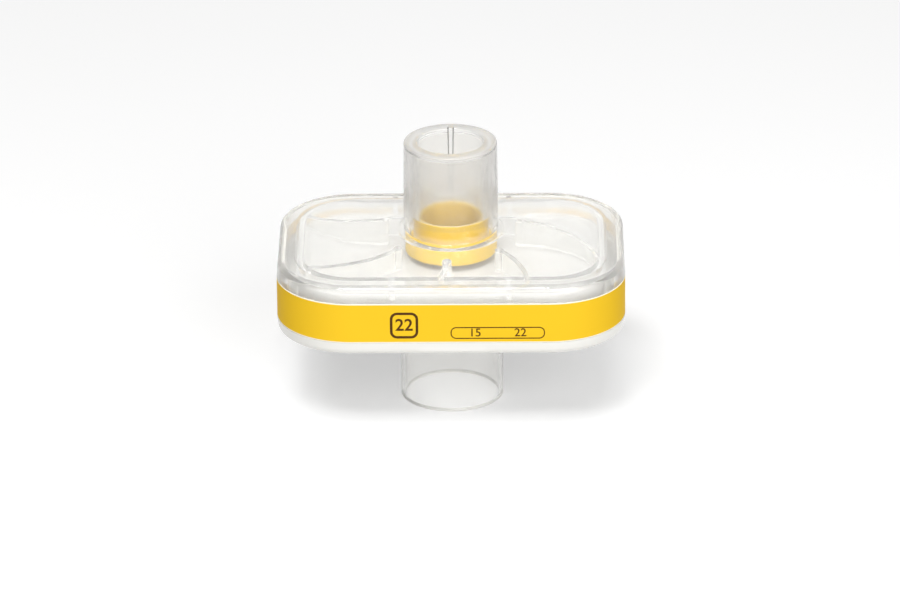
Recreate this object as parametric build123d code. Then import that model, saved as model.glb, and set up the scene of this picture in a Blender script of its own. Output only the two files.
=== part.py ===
from build123d import *

import os
from math import cos, radians, sin

# Breathing circuit filter: a flat, rounded rectangular housing of two welded shells, with a port on each side.
# Sizes are in millimetres. The origin is the centre of the lower port's mouth, which the filter stands on.
# X runs along the long side of the housing, and Z along the axis of both ports.
# Each shell is made with its weld face at height 0 and its outside facing up, and is then put in place.

# Housing outline, from above
housing_length = 82.0
housing_width = 58.0
corner_radius = 18.0

# Shell, measured from the weld face outwards
weld_height = 30.9
ledge_height = 8.6
ledge_width = 4.25
crown_rise = 3.57
crown_sections = 5
shoulder_radius = 1.5
shoulder_draft = 5
wall_thickness = 2.0
plate_thickness = 1.5

# Clamp wall, which holds the filter medium, and the webs in the channel outside it
clamp_inset = 5.2
clamp_thickness = 1.5
web_spacing = 27.2
web_thickness = 1.2

# Weld joint: a tongue on the lower shell in a groove of the upper one
tongue_inset = 0.6
tongue_width = 0.8
tongue_height = 1.2
weld_clearance = 0.06

# Filter medium
medium_thickness = 9.8
medium_inset = 4.6
medium_edge_radius = 0.5

# Swirl vanes, which spread the flow over the filter medium
vane_circle_radius = 16.5
vane_angles = (-93, -46, 12, 62, 113, 164, -139)
vane_headings = (-95, -41, -4, 50, 120, 184, -132)
vane_thickness = 1.2
vane_bend_radius = 20.0
vane_sweep = 72
post_radius = 1.1

# Patient port: a 22 mm male cone outside and a 15 mm female cone inside, both with a 1 in 40 taper
taper = 1 / 40
port_length = 22.1
male_root_radius = 11.2
male_land_length = 4.2
male_wall = 1.3
female_mouth_radius = 7.74
female_cone_depth = 16.25
female_wall = 1.2
rim_thickness = 1.4
rim_edge_radius = 0.5
root_fillet_radius = 0.8
port_web_width = 1.2
port_web_foot_width = 0.7
boss_radius = 12.4
boss_height = 9.7

# Coloured ring in the patient port
ring_spigot_radius = 7.9
ring_spigot_length = 5.4
ring_clearance = 0.05
ring_end_gap = 0.2
ring_wall = 1.0
ring_collar_radius = 10.8
ring_collar_height = 3.4
ring_flange_thickness = 1.2
ring_edge_radius = 0.25

# Machine port: a 22 mm female cone
socket_mouth_radius = 11.21
socket_cone_depth = 20.2
socket_land_length = 2.0
socket_wall = 1.0
socket_lip_width = 1.1
socket_lip_thickness = 1.0
socket_edge_radius = 0.25

# Label, in a shallow recess over the weld joint
label_height = 9.75
label_drop = 0.5
label_thickness = 0.15
label_recess = 0.2
label_glue_gap = 0.02
label_end_clearance = 0.1
label_seam = 0.7

# Worked out from the sizes above
half_length = housing_length / 2
half_width = housing_width / 2
crown_height = ledge_height + crown_rise
medium_half = medium_thickness / 2
cavity_inset = clamp_inset + clamp_thickness
reach = 1.0


def crown_top(depth):
    """The height of the crown at a distance in front of or behind the port axis."""
    return ledge_height + crown_rise * (1 - (depth / (half_width - ledge_width)) ** 2)


port_root_height = crown_top(male_root_radius)
port_rim_height = port_root_height + port_length


def outline(inset):
    """The rounded rectangle of the housing, moved in by inset all round."""
    return RectangleRounded(
        housing_length - 2 * inset, housing_width - 2 * inset, corner_radius - inset
    )


def slab(inset, bottom, top):
    """The housing's outline as a block from one height to another."""
    return extrude(Pos(0, 0, bottom) * outline(inset), amount=top - bottom)


def band(inset, width, bottom, top):
    """An upright wall that follows the outline."""
    return slab(inset, bottom, top) - slab(inset + width, bottom - reach, top + reach)


def column(radius, bottom, top):
    """A solid cylinder on the port axis from one height to another."""
    return extrude(Pos(0, 0, bottom) * Circle(radius), amount=top - bottom)


def crown(drop):
    """The pillow-shaped part of the plate inside the ledge, let down by drop."""
    edge_depth = half_width - ledge_width
    edge_corner = corner_radius - ledge_width
    sections = []
    for step in range(crown_sections, 0, -1):
        share = step / crown_sections
        depth = share * edge_depth
        height = crown_top(depth) - drop
        length = depth + half_length - half_width
        section = RectangleRounded(2 * length, 2 * depth, share * edge_corner)
        sections.append(Pos(0, 0, height) * section)
    return loft(sections)


def vane_plan(angle, heading):
    """One vane from above: a round post, then an arc that leaves it and bends clockwise to the wall."""
    start_x = vane_circle_radius * cos(radians(angle))
    start_y = vane_circle_radius * sin(radians(angle))
    centre_x = start_x + vane_bend_radius * sin(radians(heading))
    centre_y = start_y - vane_bend_radius * cos(radians(heading))
    outer = CenterArc(
        (centre_x, centre_y), vane_bend_radius + vane_thickness / 2, heading + 90, -vane_sweep
    )
    inner = CenterArc(
        (centre_x, centre_y), vane_bend_radius - vane_thickness / 2, heading + 90, -vane_sweep
    )
    ends = [Line(outer @ 0, inner @ 0), Line(outer @ 1, inner @ 1)]
    blade = make_face([outer, inner, *ends])
    return blade + Pos(start_x, start_y) * Circle(post_radius)


def vanes():
    """All vanes as tall blades, which the cavity is cut around."""
    blades = []
    for angle, heading in zip(vane_angles, vane_headings):
        plan = Pos(0, 0, medium_half) * vane_plan(angle, heading)
        blades.append(extrude(plan, amount=crown_height - medium_half + reach))
    return blades


def webs():
    """The webs that join the clamp wall to the outer wall, on both long sides."""
    height = 2 * crown_height
    depth = cavity_inset
    return [
        Pos(side * web_spacing / 2, end * (half_width - depth / 2), 0)
        * Box(web_thickness, depth, height)
        for side in (-1, 1)
        for end in (-1, 1)
    ]


def shell_blank(label_reach):
    """The outside of one shell as a solid block, with a recess for the part of the label on it."""
    recess_top = label_reach + label_end_clearance
    drafted = Pos(0, 0, recess_top) * outline(0)
    block = extrude(drafted, amount=ledge_height - recess_top, taper=shoulder_draft)
    top_edges = block.faces().sort_by(Axis.Z)[-1].edges()
    block = slab(0, 0, recess_top) + fillet(top_edges, shoulder_radius) + crown(0)
    return block - band(-reach, reach + label_recess, -reach, recess_top)


def shell_cavity(kept):
    """The inside of one shell: room for the medium, the channel round it and the flow space."""
    below = -reach
    ceiling = ledge_height - plate_thickness
    medium_space = slab(wall_thickness, below, medium_half)
    channel = band(wall_thickness, clamp_inset - wall_thickness, below, ceiling) - webs()
    core = slab(cavity_inset, below, crown_height)
    flow = slab(cavity_inset, below, ceiling) + (crown(plate_thickness) & core)
    flow = flow - kept - vanes()
    return medium_space + channel + flow


def turned(points):
    """A solid turned about the Z axis from a closed outline of radius and height."""
    corners = [(radius, 0, height) for radius, height in points]
    return revolve(make_face(Polyline(*corners, close=True)), axis=Axis.Z)


def rings_at(solid, radius, height):
    """The circular edges of a solid at a radius and height."""
    near = 1e-3
    return [
        edge
        for edge in solid.edges().filter_by(GeomType.CIRCLE)
        if abs(edge.radius - radius) < near and abs(edge.arc_center.Z - height) < near
    ]


def patient_port():
    """The double-walled port: two tubes joined at the rim, with one web between them at the back."""
    land_top = port_root_height + male_land_length
    tip_radius = male_root_radius - (port_rim_height - land_top) * taper / 2
    land_radius = female_mouth_radius - female_cone_depth * taper / 2
    cone_end = port_rim_height - female_cone_depth
    shoulder = boss_height + ring_spigot_length + ring_end_gap
    counterbore = ring_spigot_radius + ring_clearance
    tube_outside = counterbore + ring_wall
    gap_top = port_rim_height - rim_thickness
    tube = turned(
        [
            (counterbore, boss_height),
            (tube_outside, boss_height),
            (female_mouth_radius + female_wall, gap_top),
            (tip_radius - male_wall, gap_top),
            (male_root_radius - male_wall, land_top),
            (male_root_radius - male_wall, boss_height),
            (male_root_radius, boss_height),
            (male_root_radius, land_top),
            (tip_radius, port_rim_height),
            (female_mouth_radius, port_rim_height),
            (land_radius, cone_end),
            (land_radius, shoulder),
            (counterbore, shoulder),
        ]
    )
    rim = rings_at(tube, tip_radius, port_rim_height)
    rim += rings_at(tube, female_mouth_radius, port_rim_height)
    tube = fillet(rim, rim_edge_radius)
    middle = (tube_outside + male_root_radius - male_wall) / 2
    top = Pos(0, middle, gap_top) * Rectangle(port_web_width, male_wall + ring_wall)
    foot = Pos(0, middle, cone_end) * Rectangle(port_web_foot_width, male_wall + ring_wall)
    return tube + loft([foot, top])


def root_fillet():
    """The hollow curve where the patient port meets the plate."""
    foot_radius = male_root_radius + root_fillet_radius
    inner_radius = male_root_radius - male_wall / 2
    foot = crown_top(foot_radius)
    top = foot + root_fillet_radius
    inward = root_fillet_radius * cos(radians(45))
    curve = ThreePointArc(
        (male_root_radius, 0, top),
        (foot_radius - inward, 0, top - inward),
        (foot_radius, 0, foot),
    )
    sides = Polyline(
        (foot_radius, 0, foot),
        (foot_radius, 0, boss_height),
        (inner_radius, 0, boss_height),
        (inner_radius, 0, top),
        (male_root_radius, 0, top),
    )
    return revolve(make_face([curve, *sides.edges()]), axis=Axis.Z)


def machine_port():
    """The single-walled socket, with a stop lip inside the housing."""
    mouth = weld_height
    cone_end = mouth - socket_cone_depth
    land_end = cone_end - socket_land_length
    lip_end = land_end - socket_lip_thickness
    land_radius = socket_mouth_radius - socket_cone_depth * taper / 2
    outside = socket_mouth_radius + socket_wall
    tube = turned(
        [
            (socket_mouth_radius, mouth),
            (outside, mouth),
            (outside, lip_end),
            (land_radius - socket_lip_width, lip_end),
            (land_radius - socket_lip_width, land_end),
            (land_radius, land_end),
            (land_radius, cone_end),
        ]
    )
    rim = rings_at(tube, outside, mouth) + rings_at(tube, socket_mouth_radius, mouth)
    return fillet(rim, socket_edge_radius)


def top_housing():
    """The upper shell with the patient port and the groove of the weld joint."""
    boss = column(boss_radius, boss_height, crown_height + reach)
    opening = column(male_root_radius - male_wall, -reach, crown_height + reach)
    shell = shell_blank(label_height / 2 - label_drop) - shell_cavity(boss)
    shell = shell - opening + patient_port() + (root_fillet() - opening)
    groove = band(
        tongue_inset - weld_clearance,
        tongue_width + 2 * weld_clearance,
        -reach,
        tongue_height + weld_clearance,
    )
    return Pos(0, 0, weld_height) * (shell - groove)


def bottom_housing():
    """The lower shell with the machine port and the tongue of the weld joint."""
    port = machine_port()
    opening = column(socket_mouth_radius + socket_wall / 2, -reach, crown_height + reach)
    shell = shell_blank(label_height / 2 + label_drop) - shell_cavity(opening) - opening + port
    tongue = band(tongue_inset, tongue_width, -tongue_height, reach)
    return Pos(0, 0, weld_height) * mirror(shell + tongue, about=Plane.XY)


def filter_medium():
    """The pad between the two clamp walls."""
    pad = slab(medium_inset, -medium_half, medium_half)
    flat_faces = pad.faces().filter_by(Axis.Z)
    return Pos(0, 0, weld_height) * fillet(flat_faces.edges(), medium_edge_radius)


def port_ring():
    """The stepped bush: a spigot, a flange and a short skirt."""
    bore = ring_spigot_radius - ring_wall
    top = boss_height + ring_spigot_length
    skirt_end = boss_height - ring_collar_height
    flange_end = boss_height - ring_flange_thickness
    ring = turned(
        [
            (bore, flange_end),
            (bore, top),
            (ring_spigot_radius, top),
            (ring_spigot_radius, boss_height),
            (ring_collar_radius, boss_height),
            (ring_collar_radius, skirt_end),
            (ring_collar_radius - ring_wall, skirt_end),
            (ring_collar_radius - ring_wall, flange_end),
        ]
    )
    soft = rings_at(ring, ring_spigot_radius, top) + rings_at(ring, bore, top)
    soft += rings_at(ring, ring_collar_radius, skirt_end)
    return Pos(0, 0, weld_height) * fillet(soft, ring_edge_radius)


def label_band():
    """The wrap-around label, with the gap between its ends at the back."""
    inset = label_recess - label_glue_gap - label_thickness
    bottom = -label_height / 2 - label_drop
    wrap = band(inset, label_thickness, bottom, bottom + label_height)
    seam = Pos(0, half_width, 0) * Box(label_seam, 2 * reach, 2 * label_height)
    return Pos(0, 0, weld_height) * (wrap - seam)


os.makedirs("parts", exist_ok=True)
for make in (top_housing, bottom_housing, filter_medium, port_ring, label_band):
    export_step(make(), f"parts/{make.__name__}.step")
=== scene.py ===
"""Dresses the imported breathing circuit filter.

The housings become clear plastic, the pad becomes felt, and the ring a moulding pressed into its port.
The label gets its film and plain numbers, and the object a pale studio.
"""

import math
from contextlib import contextmanager
import bpy
from bpy.props import FloatProperty, FloatVectorProperty, PointerProperty
from mathutils import Matrix, Vector


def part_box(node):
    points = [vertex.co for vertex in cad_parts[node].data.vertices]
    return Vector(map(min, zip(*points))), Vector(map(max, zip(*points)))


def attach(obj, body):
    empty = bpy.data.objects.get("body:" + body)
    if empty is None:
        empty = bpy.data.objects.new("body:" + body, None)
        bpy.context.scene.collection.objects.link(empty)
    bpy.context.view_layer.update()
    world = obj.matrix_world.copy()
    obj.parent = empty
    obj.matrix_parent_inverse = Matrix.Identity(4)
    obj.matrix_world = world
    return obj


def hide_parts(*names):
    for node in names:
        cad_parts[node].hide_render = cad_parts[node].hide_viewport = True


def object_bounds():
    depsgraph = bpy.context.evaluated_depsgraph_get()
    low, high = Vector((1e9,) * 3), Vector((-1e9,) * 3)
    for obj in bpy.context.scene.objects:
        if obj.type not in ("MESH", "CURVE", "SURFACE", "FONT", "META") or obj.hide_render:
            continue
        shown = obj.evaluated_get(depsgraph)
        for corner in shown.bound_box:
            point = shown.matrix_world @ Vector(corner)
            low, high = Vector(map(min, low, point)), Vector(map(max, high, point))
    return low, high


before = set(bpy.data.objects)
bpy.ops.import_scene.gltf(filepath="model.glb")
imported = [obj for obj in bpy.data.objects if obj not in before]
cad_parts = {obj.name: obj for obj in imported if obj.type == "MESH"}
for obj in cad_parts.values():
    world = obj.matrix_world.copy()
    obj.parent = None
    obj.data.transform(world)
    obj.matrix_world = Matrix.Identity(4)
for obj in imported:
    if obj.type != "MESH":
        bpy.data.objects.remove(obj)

bl_info = {
    "name": "Breathing Circuit Filter",
    "version": (1, 0, 0),
    "blender": (4, 5, 0),
    "location": "3D View > Sidebar > Filter",
    "description": "Builds the looks of a clear breathing circuit filter around its packed model",
    "category": "Object",
}

CAD_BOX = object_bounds()
BODY = "root"
MM = 0.001


# Sizes and colours


def length(name, description, millimetres):
    """A size in metres, with its default given in millimetres."""
    return FloatProperty(name=name, description=description, default=millimetres * MM, unit="LENGTH",
                         precision=5)


def share(name, description, default):
    """A number from 0 to 1."""
    return FloatProperty(name=name, description=description, default=default, min=0, max=1,
                         subtype="FACTOR")


def colour(name, description, *rgb):
    """A linear colour."""
    return FloatVectorProperty(name=name, description=description, default=rgb, min=0, max=1, size=3,
                               subtype="COLOR")


def angle(name, description, radians):
    """An angle."""
    return FloatProperty(name=name, description=description, default=radians, subtype="ANGLE")


def strength(name, description, default, unit="NONE"):
    """A light's strength."""
    return FloatProperty(name=name, description=description, default=default, min=0, unit=unit)


class FilterSizes(bpy.types.PropertyGroup):
    """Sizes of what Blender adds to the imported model."""

    corner: length("Housing corner", "Corner radius of the housing", 18.0)
    channel_inset: length("Channel inset", "Depth of the outer wall and the channel beside it", 5.0)
    port_root: length("Port root", "Height at which the upper port starts", 42.75)
    rim_band: length("Rim band", "Height of the hazy band at the upper port's rim", 0.7)
    # Painted highlight: the band along the lower port's rim where whiter haze stands in for light that the
    # wall guides to its rim.
    base_rim_glow_band: length("Base rim band", "Height of the hazy band at the lower port's rim", 0.5)
    frost_start: length("Frost start", "Height at which the half satin band of the cone starts", 45.6)
    frost_full: length("Frost full", "Height at which the full satin finish of the cone starts", 47.5)
    frost_radius: length("Frost radius", "Only faces outside this radius have the satin finish", 10.3)
    bore_radius: length("Bore radius", "Faces inside this radius belong to the upper port's bore", 8.2)
    web_spread: length("Web spread", "Half the distance of the web's two edges at the rim", 0.62)
    web_depth: length("Web depth", "How far down the bore the web's edges show", 16)
    web_line: length("Web line", "Half the width of the line of a web's edge at its lower end", 0.04)
    web_swell: length("Web swell", "How much wider that is at the rim", 0.1)
    ring_spigot: length("Ring spigot", "Radius of the ring's spigot, which is pressed into the tube", 7.98)
    ring_bore: length("Ring bore", "Radius of the hole through the ring", 6.9)
    ring_wall: length("Ring wall", "Thickness of the ring's skirt and flange", 1.1)
    ring_seat: length("Ring seat", "Height at which the ring's flange is pressed into the port", 40.63)
    ring_skirt: length("Ring skirt", "Depth of the ring below its seat", 4.2)
    ring_edge: length("Ring edge", "Rounding of the ring's edges", 0.2)
    pad_corner: length("Pad corner", "Corner radius of the felt", 13.4)
    pad_rim: length("Pad rim", "Width of the clamped rim of the felt", 2.2)
    pad_slope: length("Pad slope", "Width over which the felt sinks beside its rim", 0.8)
    pad_dip: length("Pad dip", "How far the felt sinks between the clamp walls", 0.9)
    pad_relief: length("Pad relief", "Depth of the felt's uneven surface", 0.2)
    pad_grid: length("Pad grid", "Size of the faces of the felt's mesh", 0.7)
    badge_width: length("Badge width", "Width of the square badge on the label", 6.6)
    badge_corner: length("Badge corner", "Corner radius of the badge", 1.7)
    badge_line: length("Badge line", "Line width of the badge", 0.62)
    badge_number: length("Badge number", "Type size of the number in the badge", 4.2)
    badge_weight: length("Badge weight", "How much bolder the number in the badge is", 0.07)
    box_width: length("Box width", "Width of the number box on the label", 22.0)
    box_height: length("Box height", "Height of the number box", 3.0)
    box_line: length("Box line", "Line width of the number box", 0.26)
    box_number: length("Box number", "Type size of the numbers in the box", 2.9)
    box_weight: length("Box weight", "How much bolder the numbers in the box are", 0.02)
    label_margin: length("Label margin", "Bare strip along the cut edges of the label", 0.2)
    ink_gap: length("Ink gap", "Gap between the label and the ink", 0.003)
    ink_thickness: length("Ink thickness", "Thickness of the printed ink", 0.012)


class FilterColours(bpy.types.PropertyGroup):
    """Colours and finishes."""

    clear: colour("Clear plastic", "Tint of the clear plastic", 0.992, 0.99, 0.978)
    milk: colour("Haze", "Colour of the haze in the upper shell", 0.82, 0.815, 0.79)
    # Partly painted light: this colour is whiter than the upper shell's haze so that the lower wall and rim
    # look lit by light the shell guides down to them.
    base_milk: colour("Base haze colour", "Colour of the haze in the lower shell", 0.92, 0.91, 0.87)
    frosted: colour("Satin cone", "Tint of the satin cone", 0.76, 0.745, 0.725)
    # Painted shade: the clear web's edges look dark behind the bore because the plastic bends light, and
    # that darkness is painted in this colour.
    web_shade: colour("Web edges", "Colour of the web's edges behind the bore", 0.12, 0.12, 0.115)
    felt: colour("Felt", "Filter felt", 0.54, 0.536, 0.525)
    ring: colour("Ring", "Yellow moulding in the port", 0.73, 0.475, 0.003)
    film: colour("Label", "Label film", 0.91, 0.57, 0.025)
    edge: colour("Label edge", "Cut edge of the label film", 0.95, 0.9, 0.74)
    ink: colour("Ink", "Printed marks", 0.1, 0.045, 0.012)
    gloss: share("Clear roughness", "Roughness of the clear plastic", 0.05)
    satin: share("Satin roughness", "Roughness that the satin cone adds", 0.12)
    half_satin: share("Half satin", "Share of the satin finish in the half satin band", 0.45)
    haze: share("Haze share", "Share of haze in the upper shell", 0.1)
    wall_haze: share("Wall haze", "More haze in the outer wall and channel of the upper shell", 0.05)
    foot_haze: share("Foot haze", "More haze in the feet of the vanes", 0.3)
    port_haze: share("Port haze", "Share of haze in the root of the upper port", 0.015)
    satin_haze: share("Satin haze", "Share of haze in the satin cone", 0.11)
    rim_haze: share("Rim haze", "More haze along the rim of the upper port", 0.5)
    # Painted shade: how much of the dark colour shows on the web's edges.
    web_shade_share: share("Web haze", "Share of haze in the web's edges", 0.75)
    base_haze: share("Base haze", "Share of haze in the lower shell", 0.03)
    # Partly painted light: besides haze, the whiter wall below the label stands in for light that the shell
    # guides down to its lower edge.
    base_wall_haze_and_glow: share("Base wall haze", "More haze in the lower shell's wall below the label", 0.85)
    covered_haze: share("Covered haze", "More haze in the lower shell's wall behind the label", 0.55)
    # Painted highlight: whiter haze along the lower port's rim, partly a moulded rim that catches light,
    # partly standing in for light that the wall guides there.
    base_rim_glow: share("Base rim haze", "More haze along the rim of the lower port", 1.0)
    # Painted sheen: milky white mixed in where a shell is seen at a low angle, standing in for the bright
    # surround that clear plastic reflects at its edges.
    painted_edge_sheen: share("Edge haze", "More haze where a shell is seen at a low angle", 0.5)
    lamplight: share("Lamplight", "Share of lamplight that passes each face", 0.93)


class FilterStage(bpy.types.PropertyGroup):
    """Camera, lamps and floor."""

    target: FloatVectorProperty(name="Target", description="Point that the camera looks at", size=3,
                                default=(-0.4 * MM, 0, 23.6 * MM), subtype="TRANSLATION")
    distance: length("Camera distance", "Distance from the target to the camera", 1508.2)
    azimuth: angle("Azimuth", "Turn of the camera round the object", 0.012)
    pitch: angle("Pitch", "Angle at which the camera looks down", 0.415)
    roll: angle("Roll", "Turn of the camera about its own axis", -0.009)
    lens: FloatProperty(name="Lens", description="Focal length of the camera", default=254.3, min=1,
                        subtype="DISTANCE_CAMERA")
    floor: colour("Floor", "Colour of the floor", 0.8, 0.8, 0.8)
    speckle: colour("Floor speckle", "Colour that the floor varies to", 0.79, 0.79, 0.788)
    sky: strength("Sky", "Strength of the surrounding light", 0.27)
    floor_glow: strength("Floor glow", "Light of the floor's own, as the camera sees it", 0.34)
    glass_glow: strength("Glass glow", "More of it where the floor is seen through plastic", 0.05)
    key_power: strength("Key power", "Power of the lamp above the object", 8.2, unit="POWER")
    fill_power: strength("Fill power", "Power of the lamp at the right", 8.0, unit="POWER")


def settings():
    """The three property groups of the scene."""
    scene = bpy.context.scene
    return scene.filter_sizes, scene.filter_colours, scene.filter_stage


# Node trees


class Wire:
    """An output socket that Python's operators can be used on."""

    def __init__(self, finish, socket):
        self.finish = finish
        self.socket = socket

    def __add__(self, other):
        return self.finish.maths("ADD", self, other)

    def __sub__(self, other):
        return self.finish.maths("SUBTRACT", self, other)

    def __rsub__(self, other):
        return self.finish.maths("SUBTRACT", other, self)

    def __mul__(self, other):
        return self.finish.maths("MULTIPLY", self, other)

    def __pow__(self, other):
        return self.finish.maths("POWER", self, other)

    def __abs__(self):
        return self.finish.maths("ABSOLUTE", self)

    __radd__ = __add__
    __rmul__ = __mul__


class Finish:
    """A node tree that is written as Python expressions."""

    def __init__(self, tree):
        self.tree = tree
        tree.nodes.clear()

    def node(self, kind, sockets=None, output=0, **values):
        """Adds a node. Its settings are set first, then its sockets, by a value or by a wire."""
        made = self.tree.nodes.new("ShaderNode" + kind)
        for name, value in values.items():
            setattr(made, name, value)
        for name, value in (sockets or {}).items():
            if isinstance(value, Wire):
                self.tree.links.new(value.socket, made.inputs[name])
            else:
                made.inputs[name].default_value = value
        return Wire(self, made.outputs[output]) if made.outputs else made

    def maths(self, operation, *terms):
        """A Math node on values and wires."""
        return self.node("Math", dict(enumerate(terms)), operation=operation)

    def largest(self, first, second):
        """The larger of two values."""
        return self.maths("MAXIMUM", first, second)

    def over(self, value, limit):
        """1 where a value is over a limit, and 0 elsewhere."""
        return self.maths("GREATER_THAN", value, limit)

    def ease(self, value, start, width):
        """0 before start and 1 a width past it, with a smooth step between."""
        sockets = {"Value": value, "From Min": start, "From Max": start + width}
        return self.node("MapRange", sockets, interpolation_type="SMOOTHSTEP")

    def blend(self, factor, first, second):
        """A colour between two colours."""
        colour_a, colour_b, colour_out = 6, 7, 2
        sockets = {"Factor": factor, colour_a: first, colour_b: second}
        return self.node("Mix", sockets, output=colour_out, data_type="RGBA")

    def mottle(self, factor, rgb, darker):
        """A colour that falls to a share of itself where factor is 1."""
        return self.blend(factor, rgba(rgb), rgba([part * darker for part in rgb]))

    def mix(self, factor, first, second):
        """A value between two values."""
        return self.node("Mix", {"Factor": factor, "A": first, "B": second})

    def place(self):
        """Object coordinates."""
        return self.node("TexCoord", output="Object")

    def noise(self, scale, detail, vector, distortion=0.0):
        """Noise about 0.5."""
        sockets = {"Vector": vector, "Scale": scale, "Detail": detail, "Distortion": distortion}
        return self.node("TexNoise", sockets, output="Fac")

    def parts(self, vector):
        """The three parts of a vector."""
        outputs = self.node("SeparateXYZ", {0: vector}).socket.node.outputs
        return [Wire(self, outputs[axis]) for axis in "XYZ"]

    def bump(self, height, distance, strength):
        """A normal from a height."""
        return self.node("Bump", {"Height": height, "Distance": distance, "Strength": strength})

    def show(self, surface):
        """The material's surface."""
        self.node("OutputMaterial", {"Surface": surface})


def new_material(name):
    """A material with an empty node tree."""
    material = bpy.data.materials.new(name)
    material.use_nodes = True
    return material, Finish(material.node_tree)


def rgba(values):
    """A colour socket's value."""
    return (*values, 1)


def dress(piece, material):
    """Gives a piece one material."""
    piece.data.materials.clear()
    piece.data.materials.append(material)


# Clear plastic


def from_axis(x, y):
    """Distance from the ports' axis."""
    return (x * x + y * y) ** 0.5


def wall_zone(finish, x, y):
    """1 in the outer wall and the channel beside it, and 0 inside the clamp wall."""
    sizes, _, _ = settings()
    _, high = CAD_BOX
    past_x = finish.largest(abs(x) - (high.x - sizes.corner), 0)
    past_y = finish.largest(abs(y) - (high.y - sizes.corner), 0)
    inset = sizes.corner - from_axis(past_x, past_y)
    return 1 - finish.ease(inset, sizes.channel_inset, width=1.9 * MM)


def web_shade_lines(finish, x, y, z):
    """1 on two fine lines down the back of the bore, along the edges of the web between the tubes: the mask
    of painted shade for the dark lines that the clear web's edges show there.
    """
    sizes, _, _ = settings()
    narrowing = 0.45
    depth = (CAD_BOX[1].z - z) * (1 / sizes.web_depth)
    spread = (1 - depth * narrowing) * sizes.web_spread
    half_width = (1 - depth) * sizes.web_swell + sizes.web_line
    line = 1 - finish.ease(abs(abs(x) - spread) - half_width, 0, width=0.05 * MM)
    back = finish.ease(y, 0, width=1 * MM)
    bore = 1 - finish.ease(from_axis(x, y), sizes.bore_radius, width=0.2 * MM)
    return line * back * bore * (1 - finish.ease(depth, 0.9, width=0.1))


def cloudiness(flow):
    """How the haze varies: about 1, more or less from place to place."""
    return 0.7 + flow * 0.6


def moulded_gloss(finish, place):
    """Roughness of the clear plastic."""
    _, colours, _ = settings()
    return colours.gloss + finish.noise(900, 2, place) * 0.03


def low_angle_sheen(finish):
    """More milky haze where the plastic is seen at a low angle: a painted sheen that whitens the edges in
    place of the bright surround that they reflect.
    """
    _, colours, _ = settings()
    falloff = 4
    low_angle = finish.node("LayerWeight", {"Blend": 0.5}, output="Facing")
    return low_angle ** falloff * colours.painted_edge_sheen


def finish_plastic(finish, place, tint, haze, milk, roughness):
    """Clear plastic with a share of haze. Lamps shine through it."""
    _, colours, _ = settings()
    ripple = finish.noise(60, 3, place) * 0.6 + finish.noise(260, 2, place) * 0.15
    shared = {"Roughness": roughness, "IOR": 1.5, "Normal": finish.bump(ripple, 0.05 * MM, 0.35)}
    glass = finish.node("BsdfPrincipled", {"Base Color": tint, "Transmission Weight": 1.0, **shared})
    cloudy = finish.node("BsdfPrincipled", {"Base Color": milk, **shared})
    body = finish.node("MixShader", {0: haze, 1: glass, 2: cloudy})
    shadow = finish.node("LightPath", output="Is Shadow Ray")
    open_to_lamps = finish.node("BsdfTransparent", {"Color": rgba([colours.lamplight] * 3)})
    finish.show(finish.node("MixShader", {0: shadow, 1: body, 2: open_to_lamps}))


def upper_plastic():
    """The upper shell: hazy walls, a clear port root, a satin cone and painted shade along the web's edges
    in the bore.
    """
    sizes, colours, _ = settings()
    material, finish = new_material("clear_shell_top")
    place = finish.place()
    x, y, z = finish.parts(place)
    flow = finish.noise(60, 3, place)
    rim = finish.ease(z, CAD_BOX[1].z - sizes.rim_band, width=0.4 * MM)
    above = finish.ease(z, sizes.port_root, width=1 * MM)
    outside = finish.over(from_axis(x, y), sizes.frost_radius)
    half = finish.ease(z, sizes.frost_start, width=0.2 * MM)
    full = finish.ease(z, sizes.frost_full, width=0.2 * MM)
    cone = outside * (half * colours.half_satin + full * (1 - colours.half_satin))
    wall = wall_zone(finish, x, y)
    foot = (1 - wall) * (1 - finish.ease(z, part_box("filter_medium")[1].z, width=0.3 * MM))
    shell_haze = cloudiness(flow) * colours.haze + wall * colours.wall_haze + foot * colours.foot_haze
    port_haze = finish.mix(cone, colours.port_haze, colours.satin_haze) + rim * colours.rim_haze
    # Painted shade: two dark lines along the web's edges in the bore.
    web_shade = web_shade_lines(finish, x, y, z)
    # A painted sheen whitens the shell where it is seen at a low angle.
    haze = finish.mix(above, shell_haze, port_haze) + low_angle_sheen(finish)
    haze = finish.mix(web_shade, haze, colours.web_shade_share)
    tint = finish.blend(cone, finish.mottle(flow, colours.clear, darker=0.985), rgba(colours.frosted))
    milk = finish.blend(cone, finish.mottle(flow, colours.milk, darker=0.96), rgba(colours.frosted))
    milk = finish.blend(web_shade, milk, rgba(colours.web_shade))
    satin = colours.satin + finish.noise(2500, 2, place) * 0.06
    roughness = moulded_gloss(finish, place) + cone * satin
    finish_plastic(finish, place, tint, haze, milk, roughness)
    return material


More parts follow.
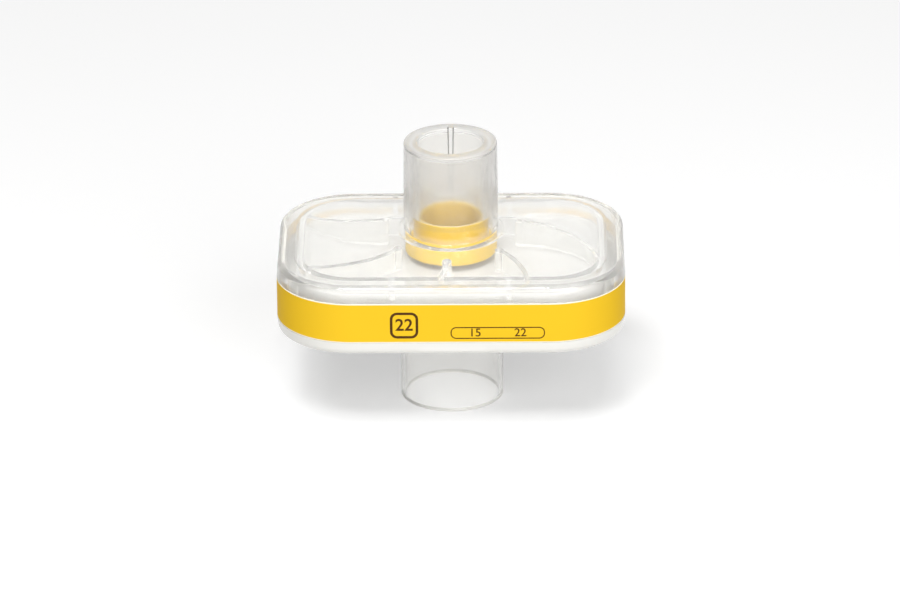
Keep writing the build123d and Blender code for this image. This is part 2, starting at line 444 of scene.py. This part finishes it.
def lower_plastic():
    """The lower shell: clear, with hazy outer walls, whiter below the label, and a light rim; the whiter
    wall and rim are partly painted light, standing in for light that the wall guides down to them.
    """
    sizes, colours, _ = settings()
    material, finish = new_material("clear_shell_bottom")
    place = finish.place()
    x, y, z = finish.parts(place)
    flow = finish.noise(60, 3, place)
    # Painted highlight: the rim's band of whiter haze stands in for light guided down the wall.
    rim = 1 - finish.ease(z, CAD_BOX[0].z + sizes.base_rim_glow_band, width=0.2 * MM)
    covered = finish.ease(z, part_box("label_band")[0].z, width=2 * MM)
    # The wall below the label is whitened partly as painted light.
    wall_haze = finish.mix(covered, colours.base_wall_haze_and_glow, colours.covered_haze)
    haze = cloudiness(flow) * colours.base_haze + wall_zone(finish, x, y) * wall_haze
    # A painted sheen whitens the shell where it is seen at a low angle.
    haze = haze + rim * colours.base_rim_glow + low_angle_sheen(finish)
    tint = finish.mottle(flow, colours.clear, darker=0.985)
    milk = finish.mottle(flow, colours.base_milk, darker=0.96)
    finish_plastic(finish, place, tint, haze, milk, moulded_gloss(finish, place))
    return material


# Other materials


def ring_plastic():
    """Satin yellow plastic with a fine grain."""
    _, colours, _ = settings()
    material, finish = new_material("yellow_moulding")
    place = finish.place()
    cloud = finish.noise(180, 3, place)
    finish.show(finish.node("BsdfPrincipled", {
        "Base Color": finish.mottle(cloud, colours.ring, darker=0.93),
        "Roughness": 0.36 + cloud * 0.12,
        "Specular IOR Level": 0.1,
        "Normal": finish.bump(finish.noise(2600, 2, place), 0.02 * MM, 0.5),
    }))
    return material


def pad_felt():
    """Matt felted fibre."""
    _, colours, _ = settings()
    material, finish = new_material("filter_felt")
    place = finish.place()
    fibres = finish.noise(1400, 6, place, distortion=1.2)
    cloud = finish.noise(90, 3, place)
    finish.show(finish.node("BsdfPrincipled", {
        "Base Color": finish.mottle(fibres * 0.6 + cloud * 0.4, colours.felt, darker=0.9),
        "Roughness": 0.95,
        "Sheen Weight": 0.2,
        "Normal": finish.bump(fibres, 0.2 * MM, 0.8),
    }))
    return material


def label_film():
    """Satin yellow film with a pale cut edge."""
    sizes, colours, _ = settings()
    low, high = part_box("label_band")
    material, finish = new_material("label_film")
    place = finish.place()
    cloud = finish.noise(45, 2, place)
    _, _, z = finish.parts(place)
    from_middle = abs(z - (low.z + high.z) / 2)
    margin = finish.over(from_middle, (high.z - low.z) / 2 - sizes.label_margin)
    film = finish.mottle(cloud, colours.film, darker=0.94)
    finish.show(finish.node("BsdfPrincipled", {
        "Base Color": finish.blend(margin, film, rgba(colours.edge)),
        "Roughness": 0.4 + cloud * 0.1,
        "Specular IOR Level": 0.02,
        "Normal": finish.bump(finish.noise(700, 2, place), 0.01 * MM, 0.3),
    }))
    return material


def label_ink():
    """Dark brown ink, a little uneven."""
    _, colours, _ = settings()
    material, finish = new_material("label_ink")
    cloud = finish.noise(500, 3, finish.place())
    finish.show(finish.node("BsdfPrincipled", {
        "Base Color": finish.mottle(cloud, colours.ink, darker=0.8),
        "Roughness": 0.42 + cloud * 0.12,
        "Specular IOR Level": 0.05,
        "Normal": finish.bump(cloud, 0.004 * MM, 0.4),
    }))
    return material


# Modelling


def deselect():
    """Leaves edit mode and deselects everything."""
    if bpy.context.object and bpy.context.object.mode != "OBJECT":
        bpy.ops.object.mode_set(mode="OBJECT")
    bpy.ops.object.select_all(action="DESELECT")


def pick(piece):
    """Makes a piece the only one selected."""
    deselect()
    piece.select_set(True)
    bpy.context.view_layer.objects.active = piece


def settle(piece):
    """Puts a piece's place into its mesh."""
    pick(piece)
    bpy.ops.object.transform_apply(location=True, rotation=True, scale=True)


@contextmanager
def editing(piece):
    """Edit mode on one piece, with nothing selected."""
    pick(piece)
    bpy.ops.object.mode_set(mode="EDIT")
    bpy.ops.mesh.select_mode(type="FACE")
    bpy.ops.mesh.select_all(action="DESELECT")
    yield
    bpy.ops.object.mode_set(mode="OBJECT")


def pick_faces(piece, wanted):
    """Selects the faces that wanted is true for, in edit mode."""
    bpy.ops.object.mode_set(mode="OBJECT")
    for face in piece.data.polygons:
        face.select = wanted(face)
    bpy.ops.object.mode_set(mode="EDIT")


def apply_modifiers(piece):
    """Applies every modifier of a piece in order."""
    pick(piece)
    for modifier in list(piece.modifiers):
        bpy.ops.object.modifier_apply(modifier=modifier.name)


# Pieces


class FILTER_OT_clear_shells(bpy.types.Operator):
    """Gives both housings their clear moulded plastic"""

    bl_idname = "filter.clear_shells"
    bl_label = "Clear Shells"

    def execute(self, context):
        dress(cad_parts["top_housing"], upper_plastic())
        dress(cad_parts["bottom_housing"], lower_plastic())
        return {"FINISHED"}


class FILTER_OT_port_ring(bpy.types.Operator):
    """Models the yellow ring, pressed tight into the patient port"""

    bl_idname = "filter.port_ring"
    bl_label = "Port Ring"

    def execute(self, context):
        sizes, _, _ = settings()
        _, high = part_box("port_ring")
        collar = high.x
        deselect()
        bpy.ops.mesh.primitive_cylinder_add(vertices=128, radius=collar, depth=sizes.ring_skirt,
                                            location=(0, 0, sizes.ring_seat - sizes.ring_skirt / 2))
        ring = context.object
        ring.name = "pressed_ring"
        settle(ring)
        with editing(ring):
            self.spigot(ring, sizes, collar, high.z)
            self.skirt(ring, sizes, collar)
            self.bore()
        edges = ring.modifiers.new("Edges", "BEVEL")
        edges.width = sizes.ring_edge
        edges.segments = 4
        edges.limit_method = "ANGLE"
        apply_modifiers(ring)
        bpy.ops.object.shade_smooth_by_angle(angle=math.radians(35))
        dress(ring, ring_plastic())
        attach(ring, BODY)
        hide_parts("port_ring")
        return {"FINISHED"}

    def spigot(self, ring, sizes, collar, top):
        """The narrow upper end, open inside."""
        pick_faces(ring, lambda face: face.normal.z > 0.9)
        bpy.ops.mesh.inset(thickness=collar - sizes.ring_spigot, depth=0)
        self.extrude(top - sizes.ring_seat)
        bpy.ops.mesh.inset(thickness=sizes.ring_spigot - sizes.ring_bore, depth=0)
        bpy.ops.mesh.delete(type="FACE")

    def skirt(self, ring, sizes, collar):
        """The wide lower end, hollow up to its flange."""
        pick_faces(ring, lambda face: face.normal.z < -0.9)
        bpy.ops.mesh.inset(thickness=sizes.ring_wall, depth=0)
        self.extrude(sizes.ring_skirt - sizes.ring_wall)
        bpy.ops.mesh.inset(thickness=collar - sizes.ring_wall - sizes.ring_bore, depth=0)
        bpy.ops.mesh.delete(type="FACE")

    def bore(self):
        """The wall of the hole, between the two open ends."""
        bpy.ops.mesh.select_mode(type="EDGE")
        bpy.ops.mesh.select_all(action="DESELECT")
        bpy.ops.mesh.select_non_manifold()
        bpy.ops.mesh.bridge_edge_loops()
        bpy.ops.mesh.select_mode(type="FACE")
        bpy.ops.mesh.select_all(action="SELECT")
        bpy.ops.mesh.normals_make_consistent(inside=False)

    def extrude(self, rise):
        """Moves the selected face up by rise and builds the wall that follows it."""
        bpy.ops.mesh.extrude_region_move(TRANSFORM_OT_translate={"value": (0, 0, rise)})


class FILTER_OT_felt_pad(bpy.types.Operator):
    """Models the filter felt between the clamp walls"""

    bl_idname = "filter.felt_pad"
    bl_label = "Felt Pad"

    def execute(self, context):
        sizes, _, _ = settings()
        low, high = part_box("filter_medium")
        deselect()
        bpy.ops.mesh.primitive_cube_add(size=1, location=(low + high) / 2, scale=high - low)
        pad = context.object
        pad.name = "felt_pad"
        settle(pad)
        self.round_corners(pad, sizes)
        with editing(pad):
            pick_faces(pad, lambda face: abs(face.normal.z) > 0.5)
            bpy.ops.mesh.inset(thickness=sizes.pad_rim, depth=0)
            bpy.ops.mesh.inset(thickness=sizes.pad_slope, depth=-sizes.pad_dip)
        self.roughen(pad, sizes)
        dress(pad, pad_felt())
        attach(pad, BODY)
        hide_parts("filter_medium")
        return {"FINISHED"}

    def round_corners(self, pad, sizes):
        """Rounds the upright edges alone."""
        corners = pad.modifiers.new("Corners", "BEVEL")
        corners.width = sizes.pad_corner
        corners.segments = 16
        corners.limit_method = "WEIGHT"
        weights = pad.data.attributes.new("bevel_weight_edge", "FLOAT", "EDGE")
        for edge in pad.data.edges:
            first, second = [pad.data.vertices[index].co.z for index in edge.vertices]
            weights.data[edge.index].value = float(abs(first - second) > 1 * MM)
        apply_modifiers(pad)

    def roughen(self, pad, sizes):
        """Gives the felt an even mesh and an uneven surface."""
        weave = bpy.data.textures.new("felt_weave", "CLOUDS")
        weave.noise_scale = 3 * MM
        remesh = pad.modifiers.new("Even mesh", "REMESH")
        remesh.mode = "VOXEL"
        remesh.voxel_size = sizes.pad_grid
        relief = pad.modifiers.new("Relief", "DISPLACE")
        relief.texture = weave
        relief.strength = sizes.pad_relief
        relief.mid_level = 1
        apply_modifiers(pad)
        bpy.ops.object.shade_smooth()


class FILTER_OT_label(bpy.types.Operator):
    """Gives the wrap-around label its printed film"""

    bl_idname = "filter.label"
    bl_label = "Label"

    def execute(self, context):
        dress(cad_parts["label_band"], label_film())
        return {"FINISHED"}


class FILTER_OT_label_print(bpy.types.Operator):
    """Prints a square badge and a long box, both with plain numbers, on the front of the label"""

    bl_idname = "filter.label_print"
    bl_label = "Label Print"

    # A mark's place across the label in mm, and its share of the label's height.
    badge_place = (-10.8, 0.45)
    box_place = (11.0, 0.25)
    # Shares of the box's width and height.
    number_share = 0.24
    corner_share = 0.45

    def execute(self, context):
        sizes, _, _ = settings()
        badge, box = self.spot(sizes, self.badge_place), self.spot(sizes, self.box_place)
        shift = Vector((sizes.box_width * self.number_share, 0, 0))
        box_corner = sizes.box_height * self.corner_share
        marks = [
            self.outline(badge, sizes.badge_width, sizes.badge_width, sizes.badge_corner, sizes.badge_line),
            self.outline(box, sizes.box_width, sizes.box_height, box_corner, sizes.box_line),
            self.number(badge, "22", sizes.badge_number, sizes.badge_weight),
            self.number(box - shift, "15", sizes.box_number, sizes.box_weight),
            self.number(box + shift, "22", sizes.box_number, sizes.box_weight),
        ]
        pick(marks[0])
        for mark in marks:
            mark.select_set(True)
        bpy.ops.object.join()
        ink = context.object
        ink.name = "label_print"
        with editing(ink):
            bpy.ops.mesh.select_all(action="SELECT")
            bpy.ops.mesh.remove_doubles(threshold=0.0001 * MM)
            bpy.ops.mesh.normals_make_consistent(inside=False)
        dress(ink, label_ink())
        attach(ink, BODY)
        return {"FINISHED"}

    def spot(self, sizes, place):
        """The middle of a mark's ink."""
        low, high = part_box("label_band")
        across, rise = place
        depth = low.y - sizes.ink_gap - sizes.ink_thickness / 2
        return Vector((across * MM, depth, low.z + rise * (high.z - low.z)))

    def outline(self, spot, width, height, corner, line):
        """A rounded rectangular line."""
        sizes, _, _ = settings()
        deselect()
        bpy.ops.mesh.primitive_plane_add(size=1, location=spot, rotation=(math.pi / 2, 0, 0))
        mark = bpy.context.object
        mark.scale = (width, height, 1)
        settle(mark)
        with editing(mark):
            bpy.ops.mesh.select_all(action="SELECT")
            bpy.ops.mesh.bevel(offset=corner, segments=8, affect="VERTICES")
            pick_faces(mark, lambda face: True)
            bpy.ops.mesh.inset(thickness=line, depth=0)
            bpy.ops.mesh.delete(type="FACE")
        depth = mark.modifiers.new("Ink", "SOLIDIFY")
        depth.thickness = sizes.ink_thickness
        depth.offset = 0
        apply_modifiers(mark)
        return mark

    def number(self, spot, body, size, weight):
        """A plain number."""
        sizes, _, _ = settings()
        deselect()
        bpy.ops.object.text_add(location=spot, rotation=(math.pi / 2, 0, 0))
        text = bpy.context.object
        text.data.body = body
        text.data.size = size
        text.data.offset = weight
        text.data.extrude = sizes.ink_thickness / 2
        text.data.resolution_u = 5
        text.data.align_x = "CENTER"
        text.data.align_y = "CENTER"
        bpy.ops.object.convert(target="MESH")
        mark = bpy.context.object
        settle(mark)
        return mark


# Stage


class FILTER_OT_stage(bpy.types.Operator):
    """Sets the pale floor, the soft lamps and the camera"""

    bl_idname = "filter.stage"
    bl_label = "Stage"

    floor_radius = 6
    lamp_target = Vector((0, 0, 0.03))

    def execute(self, context):
        _, _, stage = settings()
        self.floor(context, stage)
        self.sky(context, stage)
        self.lamp("key", place=(-0.15, -0.58, 1.05), size=0.4, power=stage.key_power)
        self.lamp("fill", place=(0.5, -1.05, 0.6), size=0.8, power=stage.fill_power)
        self.camera(context, stage)
        self.view(context)
        return {"FINISHED"}

    def seen(self, finish):
        """1 for rays from the camera, gloss and glass, and 1 for rays through glass alone."""
        path = finish.node("LightPath").socket.node
        names = ("Is Camera Ray", "Is Glossy Ray", "Is Transmission Ray")
        camera, gloss, through = [Wire(finish, path.outputs[name]) for name in names]
        return finish.largest(camera, finish.largest(gloss, through)), through

    def floor(self, context, stage):
        """A pale floor that keeps the shadow and ends in white."""
        deselect()
        bpy.ops.mesh.primitive_circle_add(vertices=96, radius=self.floor_radius, fill_type="NGON")
        floor = context.object
        floor.name = "floor"
        material, finish = new_material("pale_floor")
        cloud = finish.noise(12, 2, finish.place())
        matt = finish.node("BsdfDiffuse", {
            "Color": finish.blend(cloud, rgba(stage.floor), rgba(stage.speckle)),
        })
        seen, through = self.seen(finish)
        glow = finish.node("Emission", {
            "Color": (1, 1, 1, 1),
            "Strength": seen * stage.floor_glow + through * stage.glass_glow,
        })
        finish.show(finish.node("AddShader", {0: matt, 1: glow}))
        dress(floor, material)

    def sky(self, context, stage):
        """An even surround, which the camera sees as white."""
        world = bpy.data.worlds.new("studio")
        context.scene.world = world
        world.use_nodes = True
        finish = Finish(world.node_tree)
        seen, _ = self.seen(finish)
        light = finish.node("Background", {
            "Color": (1, 1, 1, 1),
            "Strength": seen * (1 - stage.sky) + stage.sky,
        })
        finish.node("OutputWorld", {"Surface": light})

    def lamp(self, name, place, size, power):
        """A soft square lamp that faces the object."""
        bpy.ops.object.light_add(type="AREA", location=place)
        lamp = bpy.context.object
        lamp.name = name
        lamp.data.size = size
        lamp.data.energy = power
        towards = self.lamp_target - Vector(place)
        lamp.rotation_euler = towards.to_track_quat("-Z", "Y").to_euler()

    def camera(self, context, stage):
        """The photograph's camera."""
        bpy.ops.object.camera_add()
        camera = context.object
        camera.name = "camera"
        camera.data.sensor_width = 36
        camera.data.lens = stage.lens
        camera.data.clip_start = 0.1
        camera.data.clip_end = 50
        turn = Matrix.Rotation(stage.azimuth, 4, "Z") @ Matrix.Rotation(math.pi / 2 - stage.pitch, 4, "X")
        back = turn @ Vector((0, 0, 1))
        camera.location = Vector(stage.target) + back * stage.distance
        camera.rotation_euler = (turn @ Matrix.Rotation(stage.roll, 4, "Z")).to_euler()
        context.scene.camera = camera

    def view(self, context):
        """Plain colours, and enough bounces for two walls of clear plastic inside each other."""
        context.scene.view_settings.view_transform = "Standard"
        light_paths = context.scene.cycles
        light_paths.max_bounces = 24
        light_paths.glossy_bounces = 16
        light_paths.transmission_bounces = 24
        light_paths.transparent_max_bounces = 24


# Add-on


OPERATORS = (
    FILTER_OT_clear_shells,
    FILTER_OT_port_ring,
    FILTER_OT_felt_pad,
    FILTER_OT_label,
    FILTER_OT_label_print,
    FILTER_OT_stage,
)


class FILTER_PT_panel(bpy.types.Panel):
    """Lists the sizes, the colours and the operators"""

    bl_label = "Breathing Circuit Filter"
    bl_idname = "FILTER_PT_panel"
    bl_space_type = "VIEW_3D"
    bl_region_type = "UI"
    bl_category = "Filter"

    def draw(self, context):
        for group in settings():
            box = self.layout.box()
            for name in group.bl_rna.properties.keys():
                if name not in ("rna_type", "name"):
                    box.prop(group, name)
        for operator in OPERATORS:
            self.layout.operator(operator.bl_idname)


GROUPS = {"filter_sizes": FilterSizes, "filter_colours": FilterColours, "filter_stage": FilterStage}
CLASSES = (*GROUPS.values(), *OPERATORS, FILTER_PT_panel)


def register():
    """Adds the classes and the scene's property groups."""
    for cls in CLASSES:
        bpy.utils.register_class(cls)
    for name, group in GROUPS.items():
        setattr(bpy.types.Scene, name, PointerProperty(type=group))


def unregister():
    """Takes them out again."""
    for name in GROUPS:
        delattr(bpy.types.Scene, name)
    for cls in reversed(CLASSES):
        bpy.utils.unregister_class(cls)


def main():
    """Builds everything in order."""
    register()
    for operator in OPERATORS:
        group, name = operator.bl_idname.split(".")
        getattr(getattr(bpy.ops, group), name)()


if __name__ == "__main__":
    main()
